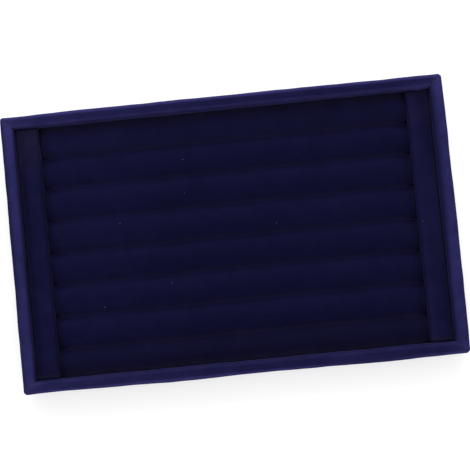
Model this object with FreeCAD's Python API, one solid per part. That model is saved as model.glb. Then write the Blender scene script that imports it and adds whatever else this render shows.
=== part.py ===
import FreeCAD
import Part
import math
import os

# Velvet ring tray: a mitred, velvet-covered rim round a lift-out insert of padded ring rolls.
# Millimetres, +Z up, X along the tray, origin at the middle of the underside.

# Driving dimensions of the whole tray
tray_length = 350.0
tray_width = 220.0
tray_height = 30.0
outer_corner_radius = 3.0

# Cloth
velvet_thickness = 1.0
hem_width = 6.0
felt_thickness = 0.6
felt_margin = 2.5
felt_corner_radius = 4.0

# Rails and base board
rail_thickness = 8.0
rail_top_radius = 2.5
rabbet_width = 4.0
board_thickness = 3.0
board_clearance = 0.3
board_corner_radius = 1.0

# Insert: card, rolls and end bars
insert_clearance = 0.4
card_thickness = 2.0
card_corner_radius = 1.5
roll_count = 8
roll_height = 15.0
roll_crown_radius = 24.0
roll_shoulder_radius = 1.8
roll_gap = 0.2
roll_end_drop = 4.0
roll_end_pinch = 2.2
roll_end_reach = 9.0
roll_end_stations = 3
bar_width = 18.0
bar_height = 17.0
bar_edge_radius = 2.0
bar_gap = 0.2

# Levels above the table and sizes that follow from the values above
rim_width = rail_thickness + 2 * velvet_thickness
board_top = felt_thickness + board_thickness
rail_bottom = felt_thickness + velvet_thickness
rail_top = tray_height - velvet_thickness
rabbet_edge = velvet_thickness + rail_thickness - rabbet_width
card_top = board_top + card_thickness
insert_length = tray_length - 2 * (rim_width + insert_clearance)
insert_width = tray_width - 2 * (rim_width + insert_clearance)
roll_pitch = insert_width / roll_count
roll_half_width = (roll_pitch - roll_gap) / 2
roll_length = insert_length - 2 * (bar_width + bar_gap)
cut_margin = 1.0


def line(start, end):
    return Part.LineSegment(start, end).toShape()


def arc(start, through, end):
    return Part.Arc(start, through, end).toShape()


def rounded_wire(corners, place):
    """Closed outline through (across, up, radius) corners, each rounded with its own tangent arc."""
    points = [FreeCAD.Vector(across, up, 0) for across, up, radius in corners]
    bends = []
    for index, (across, up, radius) in enumerate(corners):
        here = points[index]
        to_last = (points[index - 1] - here).normalize()
        to_next = (points[(index + 1) % len(points)] - here).normalize()
        half_angle = to_last.getAngle(to_next) / 2
        setback = radius / math.tan(half_angle)
        to_centre = (to_last + to_next).normalize()
        middle = here + to_centre * (radius / math.sin(half_angle) - radius)
        bends.append((here + to_last * setback, middle, here + to_next * setback))
    edges = []
    for index, (start, middle, end) in enumerate(bends):
        if corners[index][2] > 0:
            edges.append(arc(place(start), place(middle), place(end)))
        next_start = bends[(index + 1) % len(bends)][0]
        if (next_start - end).Length > 1e-6:
            edges.append(line(place(end), place(next_start)))
    return Part.Wire(edges)


def flat_sheet(length, width, corner_radius, bottom, thickness):
    """Rectangular sheet with rounded corners, centred over the origin."""
    half_x, half_y = length / 2, width / 2
    corners = [
        (-half_x, -half_y, corner_radius),
        (half_x, -half_y, corner_radius),
        (half_x, half_y, corner_radius),
        (-half_x, half_y, corner_radius),
    ]
    outline = rounded_wire(corners, lambda p: FreeCAD.Vector(p.x, p.y, bottom))
    return Part.Face(outline).extrude(FreeCAD.Vector(0, 0, thickness))


def half_turn(shape):
    """The same piece on the other side of the tray."""
    turned = shape.copy()
    turned.rotate(FreeCAD.Vector(0, 0, 0), FreeCAD.Vector(0, 0, 1), 180)
    return turned


# Rail and cloth sections run from the tray's outer face inwards (across) and up from the table.
def rail_corners():
    inner_face = velvet_thickness + rail_thickness
    return [
        (velvet_thickness, rail_bottom, 0),
        (rabbet_edge, rail_bottom, 0),
        (rabbet_edge, board_top, 0),
        (inner_face, board_top, 0),
        (inner_face, rail_top, rail_top_radius),
        (velvet_thickness, rail_top, rail_top_radius),
    ]


def rim_velvet_corners():
    inner_face = velvet_thickness + rail_thickness
    cloth_radius = rail_top_radius + velvet_thickness
    return [
        (rabbet_edge, felt_thickness, 0),
        (0, felt_thickness, velvet_thickness),
        (0, tray_height, cloth_radius),
        (rim_width, tray_height, cloth_radius),
        (rim_width, board_top, 0),
        (inner_face, board_top, 0),
        (inner_face, rail_top, rail_top_radius),
        (velvet_thickness, rail_top, rail_top_radius),
        (velvet_thickness, rail_bottom, 0),
        (rabbet_edge, rail_bottom, 0),
    ]


def mitre_prism(run, spread, inset):
    """Plan of one side along X at -spread in Y: mitred ends, and the tray's rounded outer corners."""
    reach = rim_width + cut_margin
    height = tray_height + 2 * cut_margin
    plan = [
        FreeCAD.Vector(-run, -spread, -cut_margin),
        FreeCAD.Vector(run, -spread, -cut_margin),
        FreeCAD.Vector(run - reach, reach - spread, -cut_margin),
        FreeCAD.Vector(reach - run, reach - spread, -cut_margin),
    ]
    trapezoid = Part.Face(Part.makePolygon(plan + plan[:1])).extrude(FreeCAD.Vector(0, 0, height))
    corner_radius = outer_corner_radius - inset
    rounded = flat_sheet(2 * (run - inset), 2 * (spread - inset), corner_radius, -cut_margin, height)
    return trapezoid.common(rounded)


def mitred_side(corners, length, spread_width, inset):
    """One side of the rim, along X on the -Y side of a frame of that length and width."""
    run, spread = length / 2, spread_width / 2
    outline = rounded_wire(corners, lambda p: FreeCAD.Vector(-run, p.x - spread, p.y))
    strip = Part.Face(outline).extrude(FreeCAD.Vector(length, 0, 0))
    return strip.common(mitre_prism(run, spread, inset)).Solids[0]


def four_sides(corners, inset):
    """Front, back, left and right pieces of the rim, whose section starts at inset from the outer face."""
    front = mitred_side(corners, tray_length, tray_width, inset)
    left = mitred_side(corners, tray_width, tray_length, inset)
    left.rotate(FreeCAD.Vector(0, 0, 0), FreeCAD.Vector(0, 0, 1), -90)
    return {"front": front, "back": half_turn(front), "left": left, "right": half_turn(left)}


def base_board():
    edge = rabbet_edge + board_clearance
    return flat_sheet(
        tray_length - 2 * edge, tray_width - 2 * edge, board_corner_radius, felt_thickness, board_thickness
    )


def base_felt():
    return flat_sheet(
        tray_length - 2 * felt_margin, tray_width - 2 * felt_margin, felt_corner_radius, 0, felt_thickness
    )


def insert_card():
    return flat_sheet(insert_length, insert_width, card_corner_radius, board_top, card_thickness)


def end_fall(distance):
    """Share of the drop and pinch at a distance from a roll's end: a quarter ellipse from 1 down to 0."""
    left = max(0.0, 1 - distance / roll_end_reach)
    return 1 - math.sqrt(1 - left * left)


def roll_section(x, middle_y, fall, inset):
    """Section of a roll: flat base, upright sides, and a crown arc that runs into a tighter arc at each
    shoulder. The sleeve's lower corners are bent round the square corners of the core."""
    half_width = roll_half_width - inset - roll_end_pinch * fall
    bottom = card_top + inset
    top = card_top + roll_height - inset - roll_end_drop * fall
    crown_radius = roll_crown_radius - inset
    shoulder_radius = roll_shoulder_radius - inset
    bend = velvet_thickness - inset
    bend_middle = bend * (1 - math.sqrt(0.5))

    # The shoulder's centre is where its arc touches both the crown's arc and the upright side.
    centre_y = half_width - shoulder_radius
    centre_rise = math.sqrt((crown_radius - shoulder_radius) ** 2 - centre_y**2)
    centre_z = top - crown_radius + centre_rise
    lean = math.atan2(centre_y, centre_rise)

    def at(y, z):
        return FreeCAD.Vector(x, middle_y + y, z)

    def on_shoulder(sign, angle):
        y = centre_y + shoulder_radius * math.sin(angle)
        return at(sign * y, centre_z + shoulder_radius * math.cos(angle))

    def side(sign):
        return line(at(sign * half_width, bottom + bend), at(sign * half_width, centre_z))

    def shoulder(sign):
        upright = math.pi / 2
        middle = on_shoulder(sign, (upright + lean) / 2)
        return arc(on_shoulder(sign, upright), middle, on_shoulder(sign, lean))

    def corner(sign):
        low = at(sign * half_width, bottom + bend)
        middle = at(sign * (half_width - bend_middle), bottom + bend_middle)
        return arc(low, middle, at(sign * (half_width - bend), bottom))

    base = line(at(bend - half_width, bottom), at(half_width - bend, bottom))
    crown = arc(on_shoulder(1, lean), at(0, top), on_shoulder(-1, lean))
    over = [side(1), shoulder(1), crown, shoulder(-1), side(-1)]
    if bend > 0:
        return Part.Wire([base, corner(1)] + over + [corner(-1)])
    return Part.Wire([base] + over)


def roll_body(middle_y, inset):
    """Loft of a roll whose crown and sides are drawn in towards both ends."""
    half_length = roll_length / 2 - inset
    distances = [roll_end_reach * step / roll_end_stations for step in range(roll_end_stations + 1)]
    stations = [(distance - half_length, end_fall(distance)) for distance in distances]
    stations += [(-x, fall) for x, fall in reversed(stations)]
    sections = [roll_section(x, middle_y, fall, inset) for x, fall in stations]
    return Part.makeLoft(sections, True, True)


def hem_window(half_x, half_y, middle_x, middle_y):
    """The opening that a sleeve's hems leave under its core."""
    inside_x = half_x - hem_width
    inside_y = half_y - hem_width
    corner = FreeCAD.Vector(middle_x - inside_x, middle_y - inside_y, card_top - cut_margin)
    return Part.makeBox(2 * inside_x, 2 * inside_y, velvet_thickness + cut_margin, corner)


def ring_roll(number):
    """Foam core and velvet sleeve of one roll, counted from the front of the tray."""
    middle_y = (number - (roll_count + 1) / 2) * roll_pitch
    foam = roll_body(middle_y, velvet_thickness)
    window = hem_window(roll_length / 2, roll_half_width, 0, middle_y)
    velvet = roll_body(middle_y, 0).cut([foam, window]).Solids[0]
    return foam, velvet


def bar_body(middle_x, inset):
    """End bar with rounded top edges, across the whole insert."""
    half_width = bar_width / 2 - inset
    half_length = insert_width / 2 - inset
    bottom = card_top + inset
    top = card_top + bar_height - inset
    radius = bar_edge_radius - inset
    corners = [
        (-half_width, bottom, 0),
        (half_width, bottom, 0),
        (half_width, top, radius),
        (-half_width, top, radius),
    ]
    outline = rounded_wire(corners, lambda p: FreeCAD.Vector(middle_x + p.x, -half_length, p.y))
    return Part.Face(outline).extrude(FreeCAD.Vector(0, 2 * half_length, 0))


def end_bar():
    """Core and velvet of the left end bar."""
    middle_x = (bar_width - insert_length) / 2
    core = bar_body(middle_x, velvet_thickness)
    window = hem_window(bar_width / 2, insert_width / 2, middle_x, 0)
    velvet = bar_body(middle_x, 0).cut([core, window]).Solids[0]
    return core, velvet


def tray_pieces():
    pieces = {
        "base_felt": base_felt(),
        "base_board": base_board(),
        "insert_card": insert_card(),
    }
    for side, rail in four_sides(rail_corners(), velvet_thickness).items():
        pieces[side + "_rail"] = rail
    for side, strip in four_sides(rim_velvet_corners(), 0).items():
        pieces[side + "_rim_velvet"] = strip
    for number in range(1, roll_count + 1):
        foam, velvet = ring_roll(number)
        pieces[f"roll_foam_{number}"] = foam
        pieces[f"roll_velvet_{number}"] = velvet
    core, velvet = end_bar()
    pieces["left_bar_core"] = core
    pieces["right_bar_core"] = half_turn(core)
    pieces["left_bar_velvet"] = velvet
    pieces["right_bar_velvet"] = half_turn(velvet)
    return pieces


def main():
    os.makedirs("parts", exist_ok=True)
    for name, shape in tray_pieces().items():
        shape.exportStep(f"parts/{name}.step")
        print(name, len(shape.Solids), "solids,", round(shape.Volume, 1), "mm3, valid", shape.isValid())


main()
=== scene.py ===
import math
import bmesh
import bpy
import numpy as np
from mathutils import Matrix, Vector


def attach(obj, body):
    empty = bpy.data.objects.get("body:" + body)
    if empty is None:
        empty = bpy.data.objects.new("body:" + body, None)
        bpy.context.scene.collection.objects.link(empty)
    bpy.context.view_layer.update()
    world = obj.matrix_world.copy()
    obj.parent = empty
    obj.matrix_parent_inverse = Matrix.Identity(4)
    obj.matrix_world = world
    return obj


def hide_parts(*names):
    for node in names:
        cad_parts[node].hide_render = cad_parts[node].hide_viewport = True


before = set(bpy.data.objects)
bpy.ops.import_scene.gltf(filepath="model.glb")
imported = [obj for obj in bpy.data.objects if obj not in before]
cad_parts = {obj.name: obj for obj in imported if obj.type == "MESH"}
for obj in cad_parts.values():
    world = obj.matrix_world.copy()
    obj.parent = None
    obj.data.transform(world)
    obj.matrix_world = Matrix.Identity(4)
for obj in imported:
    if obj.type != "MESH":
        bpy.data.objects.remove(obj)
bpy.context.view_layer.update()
scene = bpy.context.scene
mm = 0.001
tiny = 1e-9  # keeps a division off zero
noArea = 1e-12  # the same for the area of a grid's cell
weldDistance = 0.001 * mm
seedTurn = 0.6180339  # parts of a turn between the phases of two seeds
orderTurn = 0.3819  # and of two waves of one seed
print("frame loaded:", len(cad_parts), "CAD nodes")


# ease from 0 at low to 1 at high: 3t^2 - 2t^3
def smoothStep(low, high, value):
    t = np.clip((value - low) / (high - low), 0.0, 1.0)
    return t * t * (3.0 - 2.0 * t)


# round hill of height 1: exp(-((value - middle) / width)^2)
def hill(value, middle, width):
    return np.exp(-(((value - middle) / width) ** 2))


# sum of hills along a piece, each given as (place, width, height) in mm: height x hill
def hills(along, places):
    total = np.zeros_like(along)
    for place, width, height in places:
        total = total + height * hill(along / mm, place, width)
    return total


# sum of patches, each given as (place, width along, place, width across, height)
# in mm: height x hill x hill
def patches(along, across, places):
    total = np.zeros_like(along + across)
    for place, length, middle, width, height in places:
        total = total + height * hill(along / mm, place, length) * hill(across / mm, middle, width)
    return total


# slow wander: a sum of sines, one per (wavelength, height), with a phase fixed by its seed and order
def wander(distance, seed, waves):
    total = np.zeros_like(distance)
    for order, (length, height) in enumerate(waves):
        phase = math.tau * ((seed * seedTurn + order * orderTurn) % 1.0)
        total = total + height * np.sin(math.tau * distance / length + phase)
    return total


# direction of a vector: the vector over its length
def unit(vector):
    return vector / np.linalg.norm(vector)


# outline with rounded corners: straight runs joined by tangent arcs, as one array of (across, up) points
def roundedPath(corners, radii, arcSteps, runLength):
    corners = np.array(corners, float)
    stops = []
    for index, (here, radius) in enumerate(zip(corners, radii)):
        if index in (0, len(corners) - 1) or radius == 0:
            stops.append(here[None])
            continue
        back = unit(corners[index - 1] - here)
        ahead = unit(corners[index + 1] - here)
        half = math.acos(np.clip(back @ ahead, -1, 1)) / 2
        centre = here + unit(back + ahead) * radius / math.sin(half)
        first = here + back * radius / math.tan(half) - centre
        last = here + ahead * radius / math.tan(half) - centre
        turn = math.pi - 2 * half
        t = np.linspace(0, 1, arcSteps + 1)[:, None]
        arc = (np.sin((1 - t) * turn) * first + np.sin(t * turn) * last) / math.sin(turn)
        stops.append(centre + arc)
    path = [stops[0]]
    for before, after in zip(stops[:-1], stops[1:]):
        gap = np.linalg.norm(after[0] - before[-1])
        steps = max(1, int(round(gap / runLength)))
        t = np.linspace(0, 1, steps + 1)[1:-1, None]
        path += [before[-1] + t * (after[0] - before[-1]), after]
    return np.concatenate(path)


# unit normals of a grid of points: direction along the columns crossed with direction along the rows
def gridNormals(points):
    normal = np.cross(np.gradient(points, axis=1), np.gradient(points, axis=0))
    return normal / np.maximum(np.linalg.norm(normal, axis=2, keepdims=True), noArea)


# quads of a rows x columns grid, with the columns joined round where wrap is true
def gridFaces(rows, columns, wrap=False, start=0):
    row = np.arange(rows - 1)[:, None]
    column = np.arange(columns if wrap else columns - 1)[None]
    here = row * columns + column
    beside = row * columns + (column + 1) % columns
    return np.stack([here, beside, beside + columns, here + columns], -1).reshape(-1, 4) + start


# closed tube from rings of points: a pole takes the place of the first and of the last ring
def closedTube(points, start=0):
    rings, around = points.shape[:2]
    poles = points[0].mean(0)[None], points[-1].mean(0)[None]
    vertices = np.concatenate([poles[0], points[1:-1].reshape(-1, 3), poles[1]])
    column = np.arange(around)
    beside = (column + 1) % around
    lastRing = 1 + (rings - 3) * around
    firstFan = np.stack([0 * column, 1 + beside, 1 + column], -1) + start
    lastFan = np.stack([0 * column + len(vertices) - 1, lastRing + column, lastRing + beside], -1) + start
    faces = gridFaces(rings - 2, around, True, start + 1).tolist() + firstFan.tolist() + lastFan.tolist()
    return vertices, faces


# one mesh object from vertices and lists of face corners, smooth shaded, with its named point values
def meshObject(name, vertices, faces, marks=None):
    mesh = bpy.data.meshes.new(name)
    mesh.from_pydata(vertices.tolist(), [], faces)
    mesh.polygons.foreach_set("use_smooth", np.ones(len(mesh.polygons), bool))
    for mark, values in (marks or {}).items():
        layer = mesh.attributes.new(mark, "FLOAT", "POINT")
        layer.data.foreach_set("value", np.asarray(values, np.float32).ravel())
    mesh.update()
    piece = bpy.data.objects.new(name, mesh)
    scene.collection.objects.link(piece)
    return piece


# points that lie on one another made one, so that a grid can be drawn in to a
# line or a corner and stay closed
def weld(piece):
    form = bmesh.new()
    form.from_mesh(piece.data)
    bmesh.ops.remove_doubles(form, verts=form.verts, dist=weldDistance)
    form.to_mesh(piece.data)
    form.free()


# cloth thickness grown inwards from the modelled outer face
def thicken(piece, thickness):
    solid = piece.modifiers.new("clothThickness", "SOLIDIFY")
    solid.thickness = thickness
    solid.offset = -1.0
    solid.use_even_offset = False


# inputs of a node, by name or number: joined to another node's output or given a
# plain value, a colour as 3 shares
def feed(node, inputs):
    for key, value in inputs.items():
        socket = node.inputs[key]
        if isinstance(value, bpy.types.NodeSocket):
            node.id_data.links.new(value, socket)
        else:
            socket.default_value = (*value, 1.0) if socket.type == "RGBA" else value


# node with its plain settings, which can change its sockets, and then its inputs
def addNode(tree, kind, inputs=None, **settings):
    made = tree.nodes.new(kind)
    for key, value in settings.items():
        setattr(made, key, value)
    feed(made, inputs or {})
    return made


# empty node group with one named float output, and float inputs by name
def newGroup(name, output, inputs=()):
    tree = bpy.data.node_groups.new(name, "ShaderNodeTree")
    for label in inputs:
        tree.interface.new_socket(name=label, in_out="INPUT", socket_type="NodeSocketFloat")
    tree.interface.new_socket(name=output, in_out="OUTPUT", socket_type="NodeSocketFloat")
    return tree, tree.nodes.new("NodeGroupOutput")


# place of a point on its own piece, in metres
def objectPlace(tree):
    return addNode(tree, "ShaderNodeTexCoord").outputs["Object"]


# one arithmetic step on two values
def mathNode(tree, operation, first, second):
    return addNode(tree, "ShaderNodeMath", {0: first, 1: second}, operation=operation).outputs[0]


# weighted sum: first x its share + second x its share
def blend(tree, first, firstShare, second, secondShare):
    firstPart = mathNode(tree, "MULTIPLY", first, firstShare)
    return mathNode(tree, "ADD", firstPart, mathNode(tree, "MULTIPLY", second, secondShare))


# value moved from the range low..high to toLow..toHigh, clamped
def remap(tree, value, low, high, toLow=0.0, toHigh=1.0):
    inputs = {"Value": value, "From Min": low, "From Max": high, "To Min": toLow, "To Max": toHigh}
    return addNode(tree, "ShaderNodeMapRange", inputs).outputs[0]


# noise from 0 to 1 at a place: scale in repeats per metre, then detail and roughness
def noiseValue(tree, place, scale, detail, rough):
    inputs = {"Vector": place, "Scale": scale, "Detail": detail, "Roughness": rough}
    return addNode(tree, "ShaderNodeTexNoise", inputs).outputs[0]


# distance from the nearest scattered point of a cell pattern, in cells
def cellDistance(tree, place, scale):
    inputs = {"Vector": place, "Scale": scale}
    return addNode(tree, "ShaderNodeTexVoronoi", inputs, feature="F1").outputs["Distance"]


# colour mix: low x (1 - factor) + high x factor
def mixColour(tree, factor, low, high):
    inputs = {0: factor, 6: low, 7: high}  # the node's own numbers for its colour inputs
    return addNode(tree, "ShaderNodeMix", inputs, data_type="RGBA").outputs[2]


# the one output of a shared group placed in a material
def groupValue(tree, group, inputs=None):
    return addNode(tree, "ShaderNodeGroup", inputs, node_tree=group).outputs[0]


# shared surface effects; a noise is (scale, detail, roughness), with the scale in repeats per metre
napLook = {
    "patch": (22.0, 3.0, 0.55), "patchShare": 0.62, "stroke": (1.0, 2.0, 0.6),
    "strokeShare": 0.38, "strokeUp": 200.0, "range": (0.33, 0.67),
}
pileLook = {"tuftScale": 2600.0, "tuftShare": 0.45, "lie": (240.0, 3.0, 0.6), "lieShare": 0.55}
lintLook = {"cellScale": 70.0, "speckSize": 0.024, "bendScale": 900.0, "bendDetail": 1.0, "bend": 0.6 * mm}
brokenLook = {"detail": 3.0, "rough": 0.6, "range": (0.3, 0.7)}


# nap of the pile: patch x its share + stroke x its share, spread to 0..1; strokes
# are noise stretched along X or Y
def makeNapGroup():
    n = napLook
    tree, sink = newGroup("brushedNap", "Shade", ("Stroke X", "Stroke Y"))
    source = tree.nodes.new("NodeGroupInput").outputs
    place = objectPlace(tree)
    patch = noiseValue(tree, place, *n["patch"])
    strokes = {"X": source["Stroke X"], "Y": source["Stroke Y"], "Z": n["strokeUp"]}
    stretch = addNode(tree, "ShaderNodeCombineXYZ", strokes).outputs[0]
    along = addNode(tree, "ShaderNodeVectorMath", {0: place, 1: stretch}, operation="MULTIPLY").outputs[0]
    stroke = noiseValue(tree, along, *n["stroke"])
    both = blend(tree, patch, n["patchShare"], stroke, n["strokeShare"])
    feed(sink, {"Shade": remap(tree, both, *n["range"])})
    return tree


# short upright pile as a bump height: tuft tips, 1 - distance, x their share + a
# slower lie of the cloth x its share
def makePileGroup():
    p = pileLook
    tree, sink = newGroup("shortPile", "Height")
    place = objectPlace(tree)
    tip = mathNode(tree, "SUBTRACT", 1.0, cellDistance(tree, place, p["tuftScale"]))
    lie = noiseValue(tree, place, *p["lie"])
    feed(sink, {"Height": blend(tree, tip, p["tuftShare"], lie, p["lieShare"])})
    return tree


# lint: 1 wherever the cloth comes nearer than the speck size to a scattered point
# of a cell pattern, bent by noise
def makeLintGroup():
    n = lintLook
    tree, sink = newGroup("lint", "Mask")
    place = objectPlace(tree)
    noise = {"Vector": place, "Scale": n["bendScale"], "Detail": n["bendDetail"]}
    push = addNode(tree, "ShaderNodeTexNoise", noise).outputs["Color"]
    moved = {0: push, 1: (n["bend"],) * 3, 2: place}
    bent = addNode(tree, "ShaderNodeVectorMath", moved, operation="MULTIPLY_ADD").outputs[0]
    reach = cellDistance(tree, bent, n["cellScale"])
    feed(sink, {"Mask": mathNode(tree, "LESS_THAN", reach, n["speckSize"])})
    return tree


# mask from one of a piece's own point values: value x noise between low and high,
# so that its edge is patchy
def makePatchyGroup(name, mark, scale, low, high):
    tree, sink = newGroup(name, "Mask")
    value = addNode(tree, "ShaderNodeAttribute", attribute_name=mark).outputs["Fac"]
    noise = noiseValue(tree, objectPlace(tree), scale, brokenLook["detail"], brokenLook["rough"])
    broken = remap(tree, noise, *brokenLook["range"], low, high)
    feed(sink, {"Mask": mathNode(tree, "MULTIPLY", value, broken)})
    return tree


napGroup = makeNapGroup()
pileGroup = makePileGroup()
lintGroup = makeLintGroup()
# combed pile with painted light and highlights, painted shade, dust with painted fill light in shaded
# places, and rubbed folds with painted highlights, in the order they lie on the cloth
patchyGroups = {
    "combAndPaintedLight": makePatchyGroup("combedPileAndPaintedLight", "combAndPaintedLight", 80.0, 0.66, 1.24),
    "shade": makePatchyGroup("shadedPile", "shade", 60.0, 0.85, 1.0),
    "dustAndPaintedFill": makePatchyGroup("dustAndPaintedFill", "dustAndPaintedFill", 80.0, 0.7, 1.15),
    "rubAndHighlight": makePatchyGroup("rubbedFoldsAndHighlights", "rubAndHighlight", 130.0, 0.0, 0.3),
}


# material with one Principled shader joined to its output
def newMaterial(name):
    material = bpy.data.materials.new(name)
    material.use_nodes = True
    tree = material.node_tree
    tree.nodes.clear()
    shader = addNode(tree, "ShaderNodeBsdfPrincipled")
    addNode(tree, "ShaderNodeOutputMaterial", {"Surface": shader.outputs[0]})
    return material, tree, shader


# bump: the normal leaned by the slope of a height
def bumpNormal(tree, height, strength, distance):
    inputs = {"Strength": strength, "Distance": distance, "Height": height}
    return addNode(tree, "ShaderNodeBump", inputs).outputs[0]


# velvet: nap shade between two blues, then the patchy masks, which carry painted light, painted shade and
# painted fill light, and lint mixed over it one after another; pile as bump, sheen for the light at its
# edges
def velvetMaterial(name, look):
    material, tree, shader = newMaterial(name)
    strokeX, strokeY = look["strokes"]
    nap = groupValue(tree, napGroup, {"Stroke X": strokeX, "Stroke Y": strokeY})
    cloth = mixColour(tree, nap, look["deep"], look["raised"])
    # each mask mixes its colour over the cloth: painted light and highlights, painted shade, dust with
    # painted fill light, rub with painted highlights
    for mark, group in patchyGroups.items():
        cloth = mixColour(tree, groupValue(tree, group), cloth, look[mark])
    feed(shader, {
        "Base Color": mixColour(tree, groupValue(tree, lintGroup), cloth, look["lint"]),
        "Roughness": remap(tree, nap, 0.0, 1.0, *look["rough"]),
        "Normal": bumpNormal(tree, groupValue(tree, pileGroup), look["pileBump"], look["pileDepth"]),
        "Specular IOR Level": 0.0,
        "Sheen Weight": look["sheen"],
        "Sheen Roughness": look["sheenRough"],
        "Sheen Tint": look["sheenTint"],
    })
    return material


# shade is a painted shade colour; dust is a pale grey for dust and for painted fill light in shaded places;
# in each look, comb is the colour of combed pile and of painted highlights, and rub is the colour of rubbed
# folds and of painted highlights
sharedVelvet = {
    "strokes": (60.0, 260.0), "rough": (0.98, 0.82), "pileBump": 0.25, "pileDepth": 0.4 * mm,
    "sheenRough": 0.30, "sheenTint": (0.26, 0.23, 0.85), "dustAndPaintedFill": (0.026, 0.0235, 0.055),
    "shade": (0.0028, 0.0026, 0.0100), "lint": (0.10, 0.10, 0.17),
}
longRimVelvet = velvetMaterial("longRimVelvet", sharedVelvet | {
    "deep": (0.0062, 0.0057, 0.029), "raised": (0.0085, 0.0078, 0.039), "combAndPaintedLight": (0.034, 0.0310, 0.130),
    "rubAndHighlight": (0.045, 0.041, 0.140), "sheen": 0.22,
})
shortRimVelvet = velvetMaterial("shortRimVelvet", sharedVelvet | {
    "deep": (0.0075, 0.0070, 0.032), "raised": (0.0100, 0.0093, 0.042), "combAndPaintedLight": (0.0275, 0.0250, 0.112),
    "rubAndHighlight": (0.045, 0.041, 0.140), "strokes": (260.0, 60.0), "sheen": 0.16,
})
barVelvet = velvetMaterial("barVelvet", sharedVelvet | {
    "deep": (0.0034, 0.0033, 0.0150), "raised": (0.0042, 0.0041, 0.0195), "combAndPaintedLight": (0.0080, 0.0077, 0.0385),
    "rubAndHighlight": (0.012, 0.0112, 0.052), "strokes": (260.0, 60.0), "sheen": 0.10,
})
rollVelvet = velvetMaterial("rollVelvet", sharedVelvet | {
    "deep": (0.0036, 0.0035, 0.0155), "raised": (0.0045, 0.0043, 0.0200), "combAndPaintedLight": (0.0070, 0.0066, 0.0325),
    "rubAndHighlight": (0.009, 0.0086, 0.042), "sheen": 0.10,
})

boardNoise = {
    "fleckDetail": (4.0, 0.65), "fleckRange": (0.3, 0.7), "fleckShare": 0.7,
    "cloudDetail": (2.0, 0.5), "cloudShare": 0.3, "roughRange": (0.2, 0.8),
    "bumpDepth": 0.3 * mm, "specular": 0.25,
}


# board: two tones mixed by fleck x its share + cloud x its share, with fleck bump; the fleck
# is stretched where the board has a grain, and a lining covers what lies above its level
def boardMaterial(name, look, lining=None):
    n = boardNoise
    material, tree, shader = newMaterial(name)
    place = objectPlace(tree)
    stretched = addNode(tree, "ShaderNodeMapping", {"Vector": place, "Scale": look["stretch"]}).outputs[0]
    fleck = noiseValue(tree, stretched, look["fleckScale"], *n["fleckDetail"])
    cloud = noiseValue(tree, place, look["cloudScale"], *n["cloudDetail"])
    tone = blend(tree, remap(tree, fleck, *n["fleckRange"]), n["fleckShare"], cloud, n["cloudShare"])
    board = mixColour(tree, tone, look["dark"], look["light"])
    if lining:
        level = addNode(tree, "ShaderNodeSeparateXYZ", {0: place}).outputs["Z"]
        lined = mathNode(tree, "GREATER_THAN", level, lining["from"])
        board = mixColour(tree, lined, board, lining["colour"])
    feed(shader, {
        "Base Color": board,
        "Roughness": remap(tree, fleck, *n["roughRange"], *look["rough"]),
        "Normal": bumpNormal(tree, fleck, look["bump"], n["bumpDepth"]),
        "Specular IOR Level": n["specular"],
    })
    return material


fibreboard = boardMaterial("fibreboard", {
    "dark": (0.30, 0.19, 0.105), "light": (0.47, 0.33, 0.20), "fleckScale": 900.0, "cloudScale": 30.0,
    "stretch": (1.0, 1.0, 1.0), "rough": (0.75, 0.95), "bump": 0.25,
})
hardboard = boardMaterial("hardboard", {
    "dark": (0.16, 0.085, 0.042), "light": (0.29, 0.17, 0.09), "fleckScale": 700.0, "cloudScale": 24.0,
    "stretch": (0.5, 1.0, 1.0), "rough": (0.45, 0.7), "bump": 0.15,
})
greyboard = boardMaterial("greyboard", {
    "dark": (0.27, 0.255, 0.23), "light": (0.42, 0.405, 0.37), "fleckScale": 620.0, "cloudScale": 40.0,
    "stretch": (0.4, 1.0, 6.0), "rough": (0.8, 0.97), "bump": 0.2,
}, lining={"from": 5.5 * mm, "colour": (0.0105, 0.0100, 0.0300)})
feltFinish = boardMaterial("backingFelt", {
    "dark": (0.006, 0.006, 0.012), "light": (0.019, 0.019, 0.032), "fleckScale": 1300.0, "cloudScale": 60.0,
    "stretch": (1.0, 1.0, 1.0), "rough": (0.9, 1.0), "bump": 0.6,
})
threadFinish = boardMaterial("sewingThread", {
    "dark": (0.042, 0.038, 0.122), "light": (0.078, 0.072, 0.200), "fleckScale": 2600.0,
    "cloudScale": 300.0, "stretch": (1.0, 1.0, 1.0), "rough": (0.6, 0.85), "bump": 0.5,
})
print("velvet, board, felt and thread materials made")


# rim: one cloth strip per rail, from its hem underneath, up the outside, over the top and down the inside
rim = {
    "length": 350 * mm, "width": 220 * mm, "top": 30 * mm, "across": 10 * mm,
    "hemLevel": 0.6 * mm, "hemReach": 5 * mm, "wallFoot": 3.6 * mm, "topRadius": 3.5 * mm,
    "hemRadius": 1.3 * mm, "cornerRadius": 3.0 * mm, "thickness": 1.0 * mm, "arcSteps": 9,
    "runStep": 1.6 * mm, "columnsPerHalf": 72,
    "crowding": 1.6,  # power that brings the columns closer together near the mitres
    "seamDip": 0.24 * mm, "seamSpread": 1.0 * mm, "seamAtCorner": 0.25,
    "seamRise": (1.5 * mm, 4 * mm), "seamFade": (5.5 * mm, 8 * mm), "unevenness": 0.16 * mm,
    "waves": ((83 * mm, 0.6), (37 * mm, 0.3), (19 * mm, 0.2)),
    "slant": 3,  # lean of the second set of waves across the strip
    "slantSeed": 3, "slantShare": 0.5, "slantWaves": ((58 * mm, 0.5), (23 * mm, 0.4)),
    "calmReach": 9 * mm, "pucker": 0.10 * mm, "puckerRows": 6.5, "puckerReach": 3.5 * mm,
    "hemRise": (1.2 * mm, 3 * mm), "faceRise": (3 * mm, 9 * mm), "faceEnd": (1.5 * mm, 5 * mm),
    "edgeStart": (6.0 * mm, 9.0 * mm), "edgeRise": (14 * mm, 24 * mm),
}
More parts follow.
